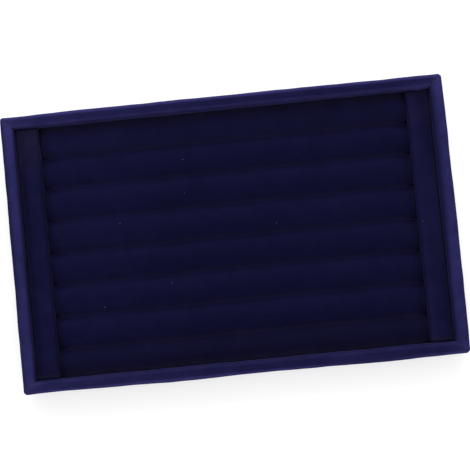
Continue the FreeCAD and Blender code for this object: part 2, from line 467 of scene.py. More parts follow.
# wear, pile, dust, painted light and painted shade of the rim: folds and seam edge as (middle, width), and
# ranges over which a mask begins or ends
rimWear = {
    "topRise": (24 * mm, 28 * mm), "innerFold": (9.2 * mm, 0.7 * mm),
    "outerFold": (0.8 * mm, 0.8 * mm), "foldRubAndHighlight": 0.8, "seamEdge": (0.9 * mm, 0.7 * mm),
    # the comb shares here carry painted light, on the folds and on the outer wall; the fold rub is also a
    # painted highlight; the dust shares carry painted fill light on the shaded inner wall
    "seamRub": 0.9, "cornerRub": 1.0, "cornerReach": 5 * mm, "combAndPaintedLight": 0.12, "outerWallPaintedLight": 0.45,
    "outerStart": (0.1 * mm, 0.8 * mm), "outerTop": (23 * mm, 28 * mm),
    # a band here is combed pile and painted highlight
    "outerBand": 1.0,  # a combed band nearer to the outer face than this, in mm, can be dull
    "seamDimming": 0.3, "brushEnd": (8.5 * mm, 9.8 * mm), "dustAndFillStart": (9.4 * mm, 9.9 * mm),
    "dustAndFillTop": (18 * mm, 27 * mm), "dustAndPaintedFill": 0.7, "shadeStart": (9.6 * mm, 10 * mm),
    "shadeRise": (14 * mm, 22 * mm), "shadeLeast": 0.45,
}
# each strip: run, spread, quarter turns, rub and painted highlight on the inner fold, painted shade on the
# inner wall;
# bands of combed pile and painted highlight (middle, width, share); hills where the top is brushed,
# the outer fold is dull, the inner edge is slack and the outer face bows; patches of
# brushed pile; creases (along, across to along, across, depth, width); places all in mm
strips = {
    "front": {
        "run": rim["length"], "spread": rim["width"], "quarter": 0, "foldRubAndHighlight": 0.5, "innerShade": 0.1,
        "combedAndHighlightBands": ((0.6, 1.8, 1.0), (8.4, 1.4, 0.24)),
        "brushed": ((-165, 105, 0.23), (-172, 14, 0.20), (80, 12, 0.09), (168, 25, 0.08)),
        "dull": ((97, 42, 0.6),),
        "patches": ((-100, 45, 10.2, 0.9, 0.25), (0, 40, 10.4, 0.8, 0.15)),
        "slack": ((-150, 9, 0.35), (-60, 16, 0.2), (95, 12, 0.25)),
        "creases": ((-163, 8.5, -136, 4.5, 0.40, 1.1), (120, 3.0, 150, 4.2, 0.2, 0.9)),
        "bow": ((-52, 30, 0.8), (105, 32, 0.8), (-140, 20, -0.5)),
    },
    "right": {
        "run": rim["width"], "spread": rim["length"], "quarter": 1, "foldRubAndHighlight": 0.1, "innerShade": 0.85,
        "combedAndHighlightBands": ((2.8, 5.2, 0.73),),
        "brushed": ((100, 20, 0.15), (40, 45, -0.06)),
        "patches": ((-65, 36, 7.9, 1.7, 0.30), (-65, 36, 2.5, 2.6, -0.15), (60, 32, 2.3, 1.7, 0.18)),
        "slack": ((-84, 5, 0.4), (-70, 5, -0.3), (-55, 7, 0.35), (20, 14, 0.2)),
        "creases": ((-96, 7.8, -62, 6.0, 0.25, 0.9), (60, 6.6, 90, 7.6, 0.2, 0.8)),
        "bow": ((-20, 95, 0.9), (75, 30, 0.3)),
    },
    "back": {
        "run": rim["length"], "spread": rim["width"], "quarter": 2, "foldRubAndHighlight": 0.5, "innerShade": 0.1,
        "combedAndHighlightBands": ((0.7, 2.2, 1.0), (8.9, 1.6, 0.52)),
        "brushed": ((160, 42, 0.30), (70, 40, 0.07), (-168, 20, 0.06)),
        "patches": (
            (-154, 13, 9.8, 1.0, 0.35), (-95, 52, 10.1, 0.6, 0.60), (-95, 52, 7.0, 1.4, -0.05),
            (145, 28, 9.8, 1.0, 0.35),
        ),
        "slack": ((-157, 9, 1.1), (-120, 14, -0.2), (30, 22, 0.2)),
        "creases": ((-164, 5.0, -128, 6.4, 0.28, 1.0), (100, 5.5, 150, 4.8, 0.2, 0.9)),
        "bow": ((160, 26, -0.6), (-130, 18, -0.35)),
    },
    "left": {
        "run": rim["width"], "spread": rim["length"], "quarter": 3, "foldRubAndHighlight": 0.1, "innerShade": 0.8,
        "combedAndHighlightBands": ((6.3, 4.3, 0.73),),
        "brushed": ((-104, 36, 0.30), (40, 45, -0.06), (100, 20, 0.06)),
        "patches": ((68, 40, 1.4, 1.9, 0.42), (0, 70, 9.6, 0.9, 0.12)),
        "slack": ((-60, 11, 0.25), (15, 18, -0.2), (80, 9, 0.3)),
        "creases": ((70, 6.0, 99, 8.0, 0.25, 0.9),),
        "bow": ((0, 60, -0.1),),
    },
}


# distance of points from a straight segment, in the plane of a strip laid flat:
# to the nearest point of its run
def segmentDistance(x, u, startX, startU, endX, endU):
    runX, runU = endX - startX, endU - startU
    share = np.clip(((x - startX) * runX + (u - startU) * runU) / (runX**2 + runU**2), 0, 1)
    return np.hypot(x - startX - share * runX, u - startU - share * runU)


# depth of the seam along a mitre: full on the top, a quarter at the outer corner, none at the inner edge
def seamDepth(across):
    r = rim
    rise = r["seamAtCorner"] + (1 - r["seamAtCorner"]) * smoothStep(*r["seamRise"], across)
    return r["seamDip"] * rise * (1 - smoothStep(*r["seamFade"], across))


# even form of one strip: the section's (across, up) points carried along a
# straight run that ends in half of the rounded corner at each mitre; a point lies
# at a share of its run from the mitre, so the columns fan to 45 degrees
def stripForm(values):
    r = rim
    corners = [(r["hemReach"], r["hemLevel"]), (0, r["hemLevel"]), (0, r["top"])]
    corners += [(r["across"], r["top"]), (r["across"], r["wallFoot"])]
    radii = [0, r["hemRadius"], r["topRadius"], r["topRadius"], 0]
    section = roundedPath(corners, radii, r["arcSteps"], r["runStep"])
    across, up = section[:, :1], section[:, 1:]
    share = np.linspace(0, 1, r["columnsPerHalf"] + 1) ** r["crowding"]
    share = np.concatenate([share, 2 - share[-2::-1]])[None]  # 0 at one mitre, 2 at the other
    bend = np.maximum(r["cornerRadius"] - across, 0)
    arcLength = bend * math.pi / 4
    straight = values["run"] / 2 - np.maximum(across, r["cornerRadius"])
    distance = np.minimum(share, 2 - share) * (straight + arcLength)
    onArc = distance < arcLength
    angle = np.where(onArc, math.pi / 4 - distance / np.maximum(bend, tiny), 0)
    x = np.where(onArc, straight + bend * np.sin(angle), straight - (distance - arcLength))
    y = np.where(onArc, across + bend * (1 - np.cos(angle)), across + 0 * distance)
    side = np.where(share <= 1, -1, 1)
    points = np.stack([side * x, y - values["spread"] / 2, up + 0 * distance], -1)
    return points, across, up, distance


# how far the cloth stands off its even form: slow unevenness + puckers beside the mitre
# - the seam's dip - creases + the bow of the outer face + the slack of the inner edge
def stripLift(values, seed, along, across, up, distance):
    r = rim
    slanted = wander(along + r["slant"] * across, seed + r["slantSeed"], r["slantWaves"])
    uneven = wander(along, seed, r["waves"]) + r["slantShare"] * slanted
    loose = smoothStep(0, r["calmReach"], distance)
    row = np.arange(len(across))[:, None]
    ripple = np.sin(math.tau * (row / r["puckerRows"] + seed)) * np.exp(-distance / r["puckerReach"])
    dip = hill(distance, 0, r["seamSpread"])
    lift = r["unevenness"] * uneven * loose + r["pucker"] * ripple * (1 - dip) - seamDepth(across) * dip
    lift = lift * smoothStep(*r["hemRise"], up)
    for startX, startU, endX, endU, depth, width in values["creases"]:
        reach = segmentDistance(along / mm, across / mm, startX, startU, endX, endU)
        lift = lift - depth * mm * hill(reach, 0, width)
    outerFace = smoothStep(*r["faceRise"], up) * (1 - smoothStep(*r["faceEnd"], across)) * (1 - dip)
    innerEdge = smoothStep(*r["edgeStart"], across) * smoothStep(*r["edgeRise"], up) * (1 - dip)
    return lift + mm * (outerFace * hills(along, values["bow"]) + innerEdge * hills(along, values["slack"]))


# values on a strip: rub = folds + seam + corner, with painted highlights on the folds; comb = the strongest
# of its bands + brushed hills
# + patches, less in the seam, with painted highlights and painted light on the outer wall; painted shade
#   and dust with painted fill light on the inner wall
def stripMarks(values, along, across, up, distance):
    w = rimWear
    onTop = smoothStep(*w["topRise"], up)
    rubAndHighlight = values["foldRubAndHighlight"] * hill(across, *w["innerFold"]) + w["foldRubAndHighlight"] * hill(across, *w["outerFold"])
    rubAndHighlight = rubAndHighlight + w["seamRub"] * hill(distance, *w["seamEdge"])
    rubAndHighlight = rubAndHighlight + w["cornerRub"] * hill(distance, 0, w["cornerReach"])
    outerWall = (1 - smoothStep(*w["outerStart"], across)) * (1 - smoothStep(*w["outerTop"], up))
    # comb here carries painted light: highlights on the folds and a brighter outer wall
    combAndPaintedLight = w["combAndPaintedLight"] + w["outerWallPaintedLight"] * outerWall + 0 * distance
    for middle, width, height in values["combedAndHighlightBands"]:
        band = height * onTop * np.exp(-((np.abs(across / mm - middle) / width) ** 3))
        if middle < w["outerBand"]:
            band = band * (1 - hills(along, values.get("dull", ())))
        combAndPaintedLight = np.maximum(combAndPaintedLight, band)
    combAndPaintedLight = combAndPaintedLight + onTop * hills(along, values["brushed"]) * (1 - smoothStep(*w["brushEnd"], across))
    combAndPaintedLight = combAndPaintedLight + onTop * patches(along, across, values["patches"])
    # less comb in the seam: painted shade in its dip
    combAndPaintedLight = combAndPaintedLight * (1 - w["seamDimming"] * hill(distance, 0, rim["seamSpread"]))
    # painted shade on the inner wall
    shade = w["shadeLeast"] + (1 - w["shadeLeast"]) * smoothStep(*w["shadeRise"], up)
    shade = values["innerShade"] * smoothStep(*w["shadeStart"], across) * shade
    # dust and painted fill light on the shaded inner wall
    dustAndPaintedFill = smoothStep(*w["dustAndFillStart"], across) * (1 - smoothStep(*w["dustAndFillTop"], up))
    return {
        "rubAndHighlight": np.clip(onTop * rubAndHighlight, 0, 1),
        "combAndPaintedLight": np.clip(combAndPaintedLight, 0, 1),
        "shade": shade + 0 * distance,
        "dustAndPaintedFill": values["foldRubAndHighlight"] * w["dustAndPaintedFill"] * dustAndPaintedFill + 0 * distance,
    }


# the four strips: each modelled at the front, form + normal x lift, then turned
# about the tray's middle to its side
def makeRimStrips():
    for label, values in strips.items():
        points, across, up, distance = stripForm(values)
        along = points[..., 0]
        lift = stripLift(values, values["quarter"] + 1, along, across, up, distance)
        x, y, z = np.moveaxis(points + gridNormals(points) * lift[..., None], -1, 0)
        turn = values["quarter"] * math.pi / 2
        turnedX = x * math.cos(turn) - y * math.sin(turn)
        turnedY = x * math.sin(turn) + y * math.cos(turn)
        turned = np.stack([turnedX, turnedY, z], -1)
        faces = gridFaces(*x.shape).tolist()
        marks = stripMarks(values, along, across, up, distance)
        strip = meshObject(label + "RimCloth", turned.reshape(-1, 3), faces, marks)
        strip.data.materials.append(longRimVelvet if label in ("front", "back") else shortRimVelvet)
        thicken(strip, rim["thickness"])
        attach(strip, "tray_shell")
        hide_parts(label + "_rim_velvet")
    print("rim cloth: 4 strips")


makeRimStrips()


# mitre stitches: short thread loops laid square across each mitre, over the top and down the outer corner
stitch = {
    "reach": 2.0 * mm, "thread": 0.40 * mm,
    "topPlaces": (2.2, 3.9, 5.7, 7.4, 8.9),  # mm in from the outer face
    "sidePlaces": (22.0, 18.0, 14.0, 10.0, 6.0),  # mm up the outer corner
    "along": 9, "round": 6,
    "arch": 0.9,  # threads that the middle stands up
    "archFall": 1.9,  # threads that the ends lie lower
    "taper": 1.02,  # a little over 1, so that the ends stay open for their poles
    "sink": 0.7,  # share of the seam's depth
}


# one stitch: a small arch from one side of the seam to the other, with its
# thread's round section swept along it
def stitchRings(middle, across, out):
    s = stitch
    t = np.linspace(-1, 1, s["along"])[:, None]
    path = middle + across * t * s["reach"] / 2 + out * s["thread"] * (s["arch"] - s["archFall"] * t * t)
    turn = np.linspace(0, math.tau, s["round"], endpoint=False)
    ring = np.cos(turn)[:, None] * np.cross(across, out) - np.sin(turn)[:, None] * out
    return path[:, None] + ring[None] * s["thread"] / 2 * np.sqrt(s["taper"] - t[..., None] ** 2)


# places along one mitre: over the top, where the section is (across, level), and
# down the rounded outer corner
def stitchPlaces(corner, inward):
    s, r = stitch, rim
    across = np.array(s["topPlaces"]) * mm
    edge = np.maximum(np.maximum(r["topRadius"] - across, across - (r["across"] - r["topRadius"])), 0)
    level = r["top"] - r["topRadius"] + np.sqrt(r["topRadius"] ** 2 - edge**2)
    lean = np.arcsin(edge / r["topRadius"]) * np.where(across > r["across"] / 2, 1, -1)
    upright = np.array([0.0, 0.0, 1.0])
    top = corner + inward * (math.sqrt(2) * across)[:, None] + upright * level[:, None]
    topOut = upright * np.cos(lean)[:, None] + inward * np.sin(lean)[:, None]
    top = top - topOut * s["sink"] * seamDepth(across)[:, None]
    side = corner + inward * (math.sqrt(2) - 1) * r["cornerRadius"]
    side = side + upright * np.array(s["sidePlaces"])[:, None] * mm + inward * s["sink"] * seamDepth(0.0)
    return np.concatenate([top, side]), np.concatenate([topOut, side * 0 - inward])


# all stitches as one piece: at each place the thread runs square to the mitre, in the plane of the cloth
def makeStitches():
    vertices, faces, count = [], [], 0
    for signX, signY in ((1, 1), (-1, 1), (-1, -1), (1, -1)):
        corner = np.array([signX * rim["length"] / 2, signY * rim["width"] / 2, 0.0])
        inward = np.array([-signX, -signY, 0.0]) / math.sqrt(2)
        for middle, out in zip(*stitchPlaces(corner, inward)):
            across = np.cross(np.cross(out, [-inward[1], inward[0], 0.0]), out)
            tubeVertices, tubeFaces = closedTube(stitchRings(middle, across, out), count)
            vertices.append(tubeVertices)
            faces += tubeFaces
            count += len(tubeVertices)
    thread = meshObject("mitreStitches", np.concatenate(vertices), faces)
    thread.data.materials.append(threadFinish)
    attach(thread, "tray_shell")
    print("mitre stitches:", 4 * (len(stitch["topPlaces"]) + len(stitch["sidePlaces"])))


makeStitches()


# rolls: a sleeve of velvet round a foam core, from end to end between the bars
roll = {
    "count": 8, "pitch": 24.9 * mm, "gap": 0.05 * mm, "length": 293.0 * mm, "base": 5.6 * mm,
    "height": 14.6 * mm, "crownRadius": 26.0 * mm, "shoulderRadius": 0.4 * mm,
    "footRadius": 1.0 * mm,
    "steps": {"base": 4, "foot": 3, "side": 7, "shoulder": 5, "crown": 14},
    "endDrop": 4.0 * mm, "endPinch": 1.7 * mm,
    "pinchLevels": (0.54, 0.79),  # shares of the height between which the drawing in begins and is full
    "endReach": 9.0 * mm, "capDepth": 0.6 * mm, "capRings": 7,
    "heart": 0.5,  # share of the height towards which the end's rings close
    "stations": 84,
    "crowding": 1.35,  # power that brings the stations closer together near the ends
    "slotShift": (-2.4, -1.6, -1.0, -0.5, 0.5, 1.4, 0.7),  # mm to the back, slot by slot from the front
    "shiftLevels": (0.15, 0.6),  # shares of the height between which the shift begins and is full
    "slotWander": 0.28 * mm,
    "slotWaves": ((171 * mm, 0.6), (76 * mm, 0.3), (41 * mm, 0.2)), "slotSeed": 1.7,
}
# pile, dust and painted light and shade of the rolls: a painted highlight on the ridge that faces the
# light, painted shade in dips at the slots and ends, dust with painted fill light; hills and patches in mm
# from the slot ahead, the slot behind and the roll's end
rollWear = {
    "span": 25 * mm,  # from slot to slot, on which the places are laid out
    # the ridge is a painted highlight on each roll's shoulder that faces the light
    "combAndPaintedLight": 0.36, "litRidge": (4.8, 4.2, 0.45), "frontLitRidge": (4.8, 4.2, 0.18),
    "ahead": ((1.4, 2.2, -0.33), (12.0, 4.0, 0.11)),
    "behind": ((0, 6.0, 0.13), (0, 1.8, -0.20), (5.5, 3.0, 0.13)), "end": ((0, 7, -0.16),),
    "endAhead": ((5.0, 8.0, 2.0, 2.6, -0.52),),
    "endBehind": ((5.0, 8.0, 5.5, 3.0, -0.13), (7.5, 6.0, 1.2, 2.4, -0.36)), "leftLight": 0.26,
    "leftRange": (-130 * mm, -20 * mm),
    "tone": (-0.28, 0.0, 0.0, -0.05, 0.05, 0.0, 0.0, 0.10),  # roll by roll from the front
    "brushed": {
        1: ((143.5, 4, -0.16),), 2: ((143.5, 4, -0.16),), 3: ((143.5, 4, -0.12),), 8: ((95, 55, -0.22),),
    },
    "shade": ((0, 7, 2.6, 3.2, 1.0),),
    "shadeShares": (0.3, 0.6),  # at the left ends and at the right ends
    "wallDustAndFill": {"front": (0.52, 3.4 * mm), "back": (0.45, 4.5 * mm)},
    "behindDustAndFill": ((0, 1.4, 0.15),), "aheadDustAndFill": ((0, 0.8, 0.12),),
    "endDustAndFill": ((0, 1.8, 0.4),), "outerDustAndFill": 0.05, "crownRub": 0.4, "crownLevels": (0.9, 1.0),
}


# place of one slot along the tray, counted from the front: its even place + this tray's shift + a wander
def slotPlace(number, along):
    r = roll
    even = (number - r["count"] / 2) * r["pitch"] + 0 * along
    if number in (0, r["count"]):
        return even
    moved = r["slotShift"][number - 1] * mm
    return even + moved + r["slotWander"] * wander(along, number * r["slotSeed"], r["slotWaves"])


# section round from the middle of the base: foot corner, side, small shoulder arc
# tangent to one broad crown arc
def rollSection():
    r, n = roll, roll["steps"]
    half, shoulder, foot = (r["pitch"] - r["gap"]) / 2, r["shoulderRadius"], r["footRadius"]
    crownMiddle = r["height"] - r["crownRadius"]
    shoulderLevel = crownMiddle + math.sqrt((r["crownRadius"] - shoulder) ** 2 - (half - shoulder) ** 2)
    meet = math.atan2(half - shoulder, shoulderLevel - crownMiddle)  # lean of the crown at the shoulder
    flat = np.linspace(0, half - foot, n["base"] + 1)[:-1]
    base = np.stack([flat, 0 * flat], -1)
    turn = np.linspace(-math.pi / 2, 0, n["foot"] + 1)
    corner = np.stack([half - foot + foot * np.cos(turn), foot + foot * np.sin(turn)], -1)
    rise = np.linspace(foot, shoulderLevel, n["side"] + 1)[1:-1]
    side = np.stack([half + 0 * rise, rise], -1)
    turn = np.linspace(0, math.pi / 2 - meet, n["shoulder"] + 1)
    edge = np.stack([half + shoulder * (np.cos(turn) - 1), shoulderLevel + shoulder * np.sin(turn)], -1)
    lean = np.linspace(meet, 0, n["crown"] + 1)[1:]
    crown = np.stack([r["crownRadius"] * np.sin(lean), crownMiddle + r["crownRadius"] * np.cos(lean)], -1)
    right = np.concatenate([base, corner, side, edge, crown])
    return np.concatenate([right, right[-2:0:-1] * (-1, 1)])


# one roll: the section carried along X, sunk and drawn in towards each end along
# a quarter ellipse, and closed there by a low dome of rings
def rollPoints(number):
    r = roll
    half = r["length"] / 2 - r["capDepth"]
    inner = np.linspace(-1, 1, r["stations"])
    inner = np.sign(inner) * (1 - (1 - np.abs(inner)) ** r["crowding"]) * half
    ring = np.linspace(0, math.pi / 2, r["capRings"] + 1)[:-1]
    dome = half + r["capDepth"] * np.cos(ring)
    x = np.concatenate([-dome, inner, dome[::-1]])[:, None]
    size = np.concatenate([np.sin(ring), np.ones(r["stations"]), np.sin(ring[::-1])])[:, None]
    near = np.clip(1 - (half + r["capDepth"] - np.abs(x)) / r["endReach"], 0, 1)
    fall = 1 - np.sqrt(1 - near * near)
    section = rollSection()
    share, level = section[:, 0] / r["pitch"] + 0.5, section[:, 1] / r["height"]
    pinch = r["endPinch"] * fall * smoothStep(*r["pinchLevels"], level)
    y = section[:, 0] * (1 - 2 * pinch / r["pitch"])
    z = section[:, 1] - r["endDrop"] * fall * level
    middle = (number - (r["count"] + 1) / 2) * r["pitch"]
    lowMove = slotPlace(number - 1, x) - (middle - r["pitch"] / 2)
    highMove = slotPlace(number, x) - (middle + r["pitch"] / 2)
    y = y + smoothStep(*r["shiftLevels"], level) * (lowMove * (1 - share) + highMove * share)
    heart = r["heart"] * r["height"]
    z = r["base"] + heart + (z - heart) * size
    return np.stack([x + 0 * y, y * size + middle, z], -1)


# values on a roll: comb = its even share + hills and patches by the slots and ends (a painted highlight on
# the lit ridge, painted shade in dips) + painted light on the left + its own tone; painted shade in the
# notches; dust with painted fill light along walls, slots and ends; rub on the crown
def rollMarks(number, points):
    r, w = roll, rollWear
    x, y, z = np.moveaxis(points, -1, 0)
    low, high = slotPlace(number - 1, x), slotPlace(number, x)
    share = np.clip((y - low) / (high - low), 0, 1)
    behind, ahead = share * w["span"], (1 - share) * w["span"]
    fromEnd = r["length"] / 2 - np.abs(x)
    litRidge = w["frontLitRidge"] if number == 1 else w["litRidge"]
    # comb carries painted light: the lit ridge and light from the left, with painted shade in dips at slots
    # and ends
    combAndPaintedLight = w["combAndPaintedLight"] + w["tone"][number - 1] + w["leftLight"] * (1 - smoothStep(*w["leftRange"], x))
    combAndPaintedLight = combAndPaintedLight + hills(ahead, (litRidge, *w["ahead"])) + hills(behind, w["behind"]) + hills(fromEnd, w["end"])
    combAndPaintedLight = combAndPaintedLight + patches(fromEnd, ahead, w["endAhead"]) + patches(fromEnd, behind, w["endBehind"])
    combAndPaintedLight = combAndPaintedLight + hills(x, w["brushed"].get(number, ()))
    # painted shade in the notches at the slot ends
    shade = np.where(x < 0, *w["shadeShares"]) * patches(fromEnd, ahead, w["shade"])
    # dust and painted fill light along the walls, slots and ends, where shade falls
    wallDustAndFill, wallReach = w["wallDustAndFill"]["front" if number == 1 else "back"]
    fromWall = r["count"] / 2 * r["pitch"] - np.abs(y)
    dustAndPaintedFill = wallDustAndFill * hill(fromWall, 0, wallReach) + (w["outerDustAndFill"] if number in (1, r["count"]) else 0.0)
    dustAndPaintedFill = dustAndPaintedFill + hills(behind, w["behindDustAndFill"]) + hills(ahead, w["aheadDustAndFill"])
    dustAndPaintedFill = dustAndPaintedFill + hills(fromEnd, w["endDustAndFill"])
    rubAndHighlight = w["crownRub"] * smoothStep(*w["crownLevels"], (z - r["base"]) / r["height"])
    marks = {"rubAndHighlight": rubAndHighlight, "combAndPaintedLight": np.clip(combAndPaintedLight, 0, 1), "shade": shade, "dustAndPaintedFill": np.clip(dustAndPaintedFill, 0, 1)}
    return {name: np.concatenate([v[0, :1], v[1:-1].ravel(), v[-1, :1]]) for name, v in marks.items()}


settle = {
    "steps": 16, "limit": 0.5 * mm,
    "heldLevel": 0.79,  # share of the height below which the sleeve is held
    "heldEnd": 3 * mm,
    "cloth": {
        "vertex_group_mass": "held", "mass": 0.0004, "quality": 4, "tension_stiffness": 6.0,
        "compression_stiffness": 6.0, "shear_stiffness": 3.0, "bending_stiffness": 0.05,
        "use_pressure": True, "uniform_pressure_force": 4.0,
    },
}


# all of a mesh's points as one run of numbers
def pointRun(mesh):
    run = np.empty(len(mesh.vertices) * 3)
    mesh.vertices.foreach_get("co", run)
    return run


# sleeve filled by its foam: a cloth run with inner pressure, its base, sides and
# ends held; each point then takes its move, capped at limit x tanh(move / limit)
def settleSleeve(piece):
    s = settle
    before = pointRun(piece.data)
    place = before.reshape(-1, 3)
    held = place[:, 2] < roll["base"] + s["heldLevel"] * roll["height"]
    held = held | (np.abs(place[:, 0]) > roll["length"] / 2 - s["heldEnd"])
    group = piece.vertex_groups.new(name="held")
    group.add(np.flatnonzero(held).tolist(), 1.0, "REPLACE")
    cloth = piece.modifiers.new("settle", "CLOTH")
    for key, value in s["cloth"].items():
        setattr(cloth.settings, key, value)
    cloth.settings.effector_weights.gravity = 0.0
    cloth.point_cache.frame_start, cloth.point_cache.frame_end = 1, s["steps"]
    for step in range(1, s["steps"] + 1):
        scene.frame_set(step)
    after = pointRun(piece.evaluated_get(bpy.context.evaluated_depsgraph_get()).data)
    piece.modifiers.remove(cloth)
    piece.vertex_groups.remove(group)
    scene.frame_set(1)
    move = (after - before).reshape(-1, 3)
    reach = np.linalg.norm(move, axis=1, keepdims=True)
    print("settle: largest move %.2f mm, mean %.3f mm" % (reach.max() / mm, reach.mean() / mm))
    move = move * s["limit"] * np.tanh(reach / s["limit"]) / np.maximum(reach, tiny)
    piece.data.vertices.foreach_set("co", before + move.ravel())
    piece.data.update()


# the eight rolls: closed tube, settled by its filling, then smoothed once
def makeRolls():
    for number in range(1, roll["count"] + 1):
        points = rollPoints(number)
        vertices, faces = closedTube(points)
        piece = meshObject(f"ringRoll{number}", vertices, faces, rollMarks(number, points))
        settleSleeve(piece)
        smooth = piece.modifiers.new("smooth", "SUBSURF")
        smooth.levels = smooth.render_levels = 1
        piece.data.materials.append(rollVelvet)
        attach(piece, "roll_insert")
        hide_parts(f"roll_velvet_{number}", f"roll_foam_{number}")
    print("ring rolls:", roll["count"])


makeRolls()


# end bars: velvet drawn over a flat board, down both long sides and both ends, hems turned under
bar = {
    "width": 18 * mm, "height": 17 * mm, "length": 199.2 * mm, "base": 5.6 * mm,
    "outerEnd": 164.6 * mm, "edgeRadius": 1.7 * mm, "hem": 6 * mm, "hemRadius": 1.3 * mm,
    "thickness": 1.0 * mm, "arcSteps": 7, "runStep": 1.5 * mm, "turnSteps": 6, "stations": 110,
    "endRings": 4, "unevenness": 0.14 * mm,
    "waves": ((67 * mm, 0.6), (31 * mm, 0.35), (17 * mm, 0.2)), "seed": 5,
    "calmBelow": (7.6 * mm, 11.6 * mm), "calmInset": 0.45 * mm,
}
# pile, dust, painted light and painted shade of the bars, with ranges from the wall beside them, from their
# ends and up
barWear = {
    # the comb ranges give painted shade beside the wall and at the ends; the dust shares add painted fill
    # light in the shaded gaps
    "combAndPaintedLight": 0.75, "endRange": (-3 * mm, 7 * mm), "innerRange": (14.2 * mm, 18.2 * mm),
    "innerEdge": (15.0, 2.2),  # mm from the wall: middle and width of the lit inner edge
    "backRange": (8 * mm, 45 * mm), "backDimming": 1.4, "sideRange": (16.6 * mm, 21.1 * mm),
    "dustAndPaintedFill": 0.03, "wallDustAndFill": (0.31, 2 * mm), "sideDustAndFill": 0.22, "endDustAndFill": (0.35, 3.5 * mm),
    "edgeRub": 0.25, "edge": (22.1 * mm, 0.6 * mm),
}
barSides = {
    "left": {
        "sign": -1, "wallShade": (0.5 * mm, 8.0 * mm), "dimBackShare": 0.25,
        "innerFade": 0.75, "innerLight": 0.0,
        "patches": ((55, 45, 3.2, 4.0, -0.24), (-65, 45, 16.0, 2.2, 0.24)),
    },
    "right": {
        "sign": 1, "wallShade": (-1.2 * mm, 5.0 * mm), "dimBackShare": 0.06,
        "innerFade": 0.40, "innerLight": 0.35,
        "patches": ((0, 38, 3.5, 5.0, 0.40), (65, 36, 3.5, 4.5, -0.40), (-65, 34, 3.0, 3.5, -0.26)),
    },
}


# one bar: the hem, side, top, side, hem section carried along Y; over each end it
# turns down a small arc and is then drawn in to the middle of the end face, so
# the folds run down from the two upper corners as on a wrapped board
def barPoints(sign):
    b = bar
    half, low, top, radius = b["width"] / 2, b["base"], b["base"] + b["height"], b["edgeRadius"]
    right = [(half - b["hem"], low), (half, low), (half, top)]
    corners = right + [(-x, z) for x, z in reversed(right)]
    radii = [0, b["hemRadius"], radius, radius, b["hemRadius"], 0]
    section = roundedPath(corners, radii, b["arcSteps"], b["runStep"])
    end = b["length"] / 2
    turn = np.linspace(0, math.pi / 2, b["turnSteps"] + 1)
    arcInset, arcPlace = radius * (1 - np.cos(turn)), end - radius + radius * np.sin(turn)
    hemInset = half - section[section[:, 1] < low + tiny, 0]
    hemInset = np.unique(hemInset[(hemInset > radius) & (hemInset < b["hem"])].round(9))
    flatInset = np.concatenate([hemInset, np.linspace(b["hem"], half, b["endRings"])])
    inset = np.concatenate([arcInset, flatInset])
    place = np.concatenate([arcPlace, np.full(len(flatInset), end)])
    middle = np.linspace(radius - end, end - radius, b["stations"])[1:-1]
    inset = np.concatenate([inset[::-1], 0 * middle, inset])[None]
    place = np.concatenate([-place[::-1], middle, place])[None]
    x = np.clip(section[:, :1], inset - half, half - inset)
    z = np.minimum(section[:, 1:], np.maximum(top - inset, low))
    points = np.stack([x + sign * (b["outerEnd"] - half), place + 0 * x, z], -1)
    shown = smoothStep(*b["calmBelow"], z) * (1 - smoothStep(0, b["calmInset"], inset))
    lift = b["unevenness"] * wander(place, b["seed"] + sign, b["waves"]) * shown
    return points + gridNormals(points) * lift[..., None]


# values on a bar: comb = its share, with painted shade beside the wall, at the ends and at the inner
# edge, + patches; dust with painted fill light = wall + sides + ends + the dim back; rub along the upper
# edges
def barMarks(values, points):
    b, w = bar, barWear
    x, y, z = np.moveaxis(points, -1, 0)
    fromWall, fromEnd = b["outerEnd"] - np.abs(x), b["length"] / 2 - np.abs(y)
    # comb falls off beside the wall and at the ends as painted shade; the inner light is a painted
    # highlight
    combAndPaintedLight = w["combAndPaintedLight"] * smoothStep(*values["wallShade"], fromWall) * smoothStep(*w["endRange"], fromEnd)
    combAndPaintedLight = combAndPaintedLight * (1 - values["innerFade"] * smoothStep(*w["innerRange"], fromWall))
    combAndPaintedLight = combAndPaintedLight + values["innerLight"] * hill(fromWall / mm, *w["innerEdge"])
    combAndPaintedLight = combAndPaintedLight + patches(y, fromWall, values["patches"])
    # the back end of the bar is dimmed and greyed: painted shade and dust
    dimBackEnd = values["dimBackShare"] * (1 - smoothStep(*w["backRange"], b["length"] / 2 - y))
    combAndPaintedLight = combAndPaintedLight * (1 - w["backDimming"] * dimBackEnd)
    # dust and painted fill light in the shaded gaps beside the wall, down the sides and at the ends
    wallDustAndFill, wallReach = w["wallDustAndFill"]
    endDustAndFill, endReach = w["endDustAndFill"]
    dustAndPaintedFill = w["dustAndPaintedFill"] + wallDustAndFill * hill(fromWall, 0, wallReach) + endDustAndFill * hill(fromEnd, 0, endReach)
    dustAndPaintedFill = dustAndPaintedFill + w["sideDustAndFill"] * (1 - smoothStep(*w["sideRange"], z)) + dimBackEnd
    rubAndHighlight = w["edgeRub"] * hill(z, *w["edge"])
    return {"rubAndHighlight": rubAndHighlight, "combAndPaintedLight": np.clip(combAndPaintedLight, 0, 1), "dustAndPaintedFill": np.clip(dustAndPaintedFill, 0, 1)}


# the two bars: a grid whose ends are welded shut, then given its thickness; the
# cut is width + 2 heights + 2 hems by length + 2 heights
def makeBars():
    b = bar
    for label, values in barSides.items():
        points = barPoints(values["sign"])
        faces = gridFaces(*points.shape[:2]).tolist()
        cover = meshObject(label + "BarCloth", points.reshape(-1, 3), faces, barMarks(values, points))
        weld(cover)
        cover.data.materials.append(barVelvet)
        thicken(cover, b["thickness"])
        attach(cover, "roll_insert")
        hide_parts(label + "_bar_velvet")
    print("end bars: 2")


makeBars()


